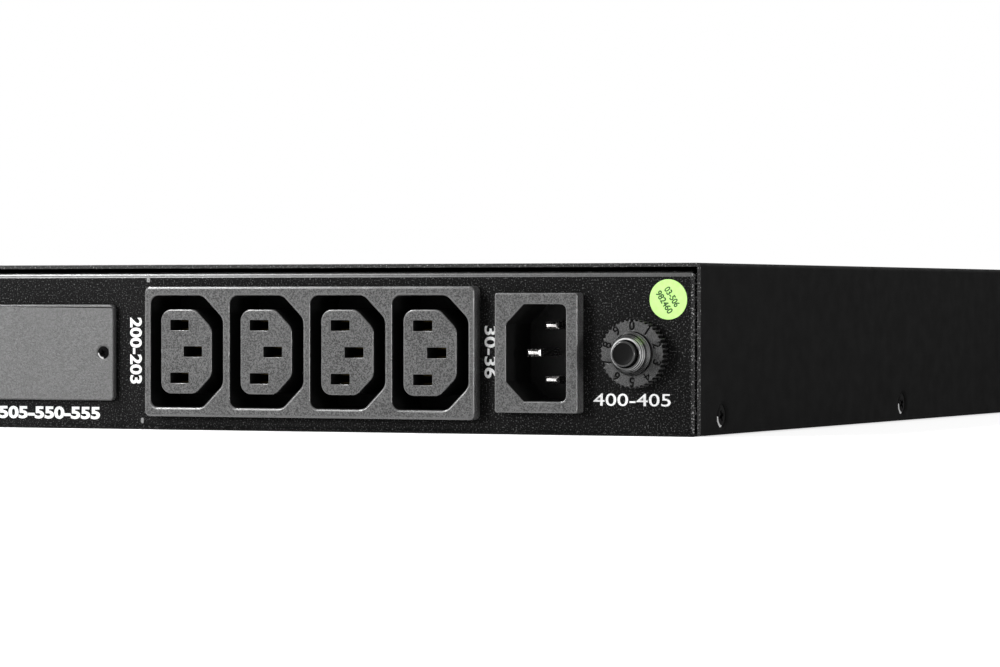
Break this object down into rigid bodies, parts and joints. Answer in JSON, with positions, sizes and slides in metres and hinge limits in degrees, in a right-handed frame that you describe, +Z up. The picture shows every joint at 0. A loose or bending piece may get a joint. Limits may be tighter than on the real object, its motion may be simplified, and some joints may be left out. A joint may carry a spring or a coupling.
{
  "type": "rack uninterruptible power supply",
  "caption": "Low rack uninterruptible power supply: folded steel case, louvred bezel with display and keys, rear panel with socket strip, inlet, resettable breaker and fan.",
  "frame": {"origin": "middle of the footprint on the resting surface", "axes": "+X across the rack, -Y the front with the display, +Y the rear panel with the sockets, +Z up"},
  "size_m": [0.4826, 0.4094, 0.044],
  "materials": {
    "panel_paint": "sandy black powder coat",
    "cover_paint": "smooth satin black paint",
    "plate_paint": "satin dark grey paint",
    "black_screw": "black oxide",
    "socket_plastic": "finely grained",
    "inlet_plastic": "finely grained",
    "contact_brass": "plain",
    "nickel_pin": "bright nickel",
    "bush_metal": "nickel plated",
    "nut_grey": "knurled",
    "button_black": "satin",
    "sticker_green": "satin",
    "bezel_plastic": "finely grained",
    "window_dark": "polished",
    "key_plastic": "satin",
    "fan_plastic": "moulded",
    "lcd_frame": "plain",
    "board_green": "solder resist",
    "battery_case": "moulded",
    "zinc_steel": "zinc plated",
    "core_steel": "laminated, varnished",
    "coil_tape": "taped winding",
    "nylon_white": "moulded",
    "sink_aluminium": "extruded",
    "capacitor_sleeve": "shrink sleeve",
    "relay_case": "moulded"
  },
  "bodies": {
    "enclosure": {"chassis_tray": "panel_paint", "top_cover": "cover_paint", "cover_screws": "black_screw", "rack_ear_right": "cover_paint", "rack_ear_left": "cover_paint", "ear_screws": "black_screw", "outlet_block": "socket_plastic", "outlet_contacts": "contact_brass", "inlet_body": "inlet_plastic", "inlet_pins": "nickel_pin", "breaker_case": "inlet_plastic", "breaker_bush": "bush_metal", "breaker_nut": "nut_grey", "inspection_sticker": "sticker_green", "slot_cover": "plate_paint", "rear_panel_screws": "black_screw", "card_guides": "inlet_plastic", "fan_frame": "fan_plastic", "front_bezel": "bezel_plastic", "display_window": "window_dark", "lcd_module": "lcd_frame", "display_board": "board_green", "key_switches": "fan_plastic", "battery_1": "battery_case", "battery_2": "battery_case", "battery_3": "battery_case", "battery_4": "battery_case", "battery_terminals": "contact_brass", "battery_straps": "zinc_steel", "strap_screws": "zinc_steel", "transformer_core": "core_steel", "transformer_coil": "coil_tape", "transformer_brackets": "zinc_steel", "main_board": "board_green", "board_supports": "nylon_white", "heat_sink": "sink_aluminium", "power_transistors": "fan_plastic", "bulk_capacitors": "capacitor_sleeve", "relays": "relay_case", "line_choke": "coil_tape"},
    "reset_button": {"reset_button": "button_black"},
    "power_key": {"power_key": "key_plastic"},
    "select_key": {"select_key": "key_plastic"},
    "fan_rotor": {"fan_rotor": "fan_plastic"}
  },
  "joints": [
    {"name": "reset_travel", "type": "slide", "parent": "enclosure", "child": "reset_button", "axis": [0, 1, 0], "range_m": [0, 0.004]},
    {"name": "power_key_press", "type": "slide", "parent": "enclosure", "child": "power_key", "axis": [0, 1, 0], "range_m": [0, 0.0012], "stiffness_N_per_m": 300},
    {"name": "select_key_press", "type": "slide", "parent": "enclosure", "child": "select_key", "axis": [0, 1, 0], "range_m": [0, 0.0012], "stiffness_N_per_m": 300},
    {"name": "fan_spin", "type": "hinge", "parent": "enclosure", "child": "fan_rotor", "pos_m": [0.121, 0.1853, 0.0215], "axis": [0, 1, 0], "continuous": true}
  ]
}
